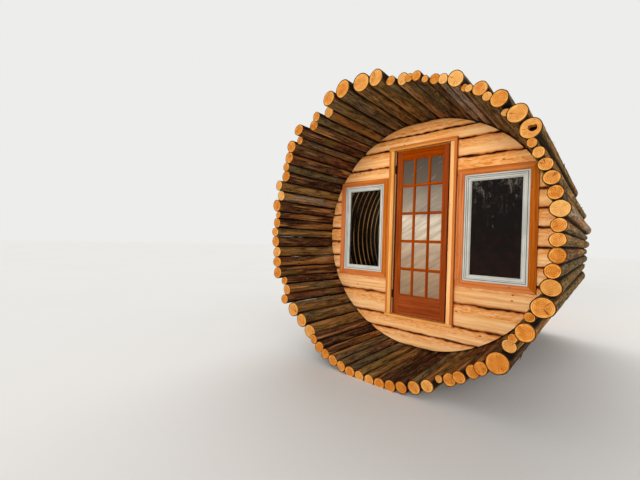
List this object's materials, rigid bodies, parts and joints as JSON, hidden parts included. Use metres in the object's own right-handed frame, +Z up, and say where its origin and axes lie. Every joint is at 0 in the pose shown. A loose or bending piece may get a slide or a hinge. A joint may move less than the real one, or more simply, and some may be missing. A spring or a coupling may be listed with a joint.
{
  "type": "barrel-shaped log sauna with a porch",
  "caption": "Lying barrel of round logs with a porch, a round slab front with a glazed door and two windows, and a plain round rear.",
  "frame": {"origin": "on the ground under the middle of the barrel, midway along its logs", "axes": "+Z up, +X to the right across the front as one faces it, -Y out of the front"},
  "size_m": [3.0008, 3.8623, 3.0025],
  "materials": {
    "barked_logs": "rough bark, sawn ends golden",
    "cedar_slabs": "oiled, waney half-log slabs",
    "sawn_boards": "rough sawn",
    "pale_cedar": "planed, clear oil",
    "red_cedar": "planed, oiled",
    "door_wood": "varnished",
    "misted_glass": "misted",
    "window_glass": "clear over a dark room",
    "white_vinyl": "moulded, satin",
    "dark_steel": "dark bronze",
    "corrugated_steel": "galvanised"
  },
  "bodies": {
    "root": {"barrel_liner": "corrugated_steel", "door_casing": "pale_cedar", "door_jambs": "pale_cedar", "door_sill": "pale_cedar", "door_stops": "pale_cedar", "floor_boards": "sawn_boards", "floor_joists": "sawn_boards", "front_wall_above_windows": "cedar_slabs", "front_wall_backing": "sawn_boards", "front_wall_below_windows": "cedar_slabs", "front_wall_beside_windows": "cedar_slabs", "front_wall_foot": "cedar_slabs", "front_wall_head": "cedar_slabs", "hinge_jamb_plates": "dark_steel", "left_window_frame": "white_vinyl", "left_window_glass": "window_glass", "left_window_sash": "white_vinyl", "left_window_trim": "red_cedar", "logs_bottom": "barked_logs", "logs_left": "barked_logs", "logs_lower_left": "barked_logs", "logs_lower_right": "barked_logs", "logs_right": "barked_logs", "logs_top": "barked_logs", "logs_upper_left": "barked_logs", "logs_upper_right": "barked_logs", "rear_wall": "cedar_slabs", "rear_wall_backing": "sawn_boards", "right_window_frame": "white_vinyl", "right_window_glass": "window_glass", "right_window_sash": "white_vinyl", "right_window_trim": "red_cedar", "window_posts": "sawn_boards"},
    "door": {"door_leaf": "door_wood", "door_muntins": "door_wood", "door_panes": "misted_glass", "hinge_leaf_plates": "dark_steel"}
  },
  "joints": [
    {"name": "door_swing", "type": "hinge", "parent": "root", "child": "door", "pos_m": [-0.3415, -0.798, 1.5], "axis": [0, 0, -1], "range_deg": [0, 100]}
  ]
}
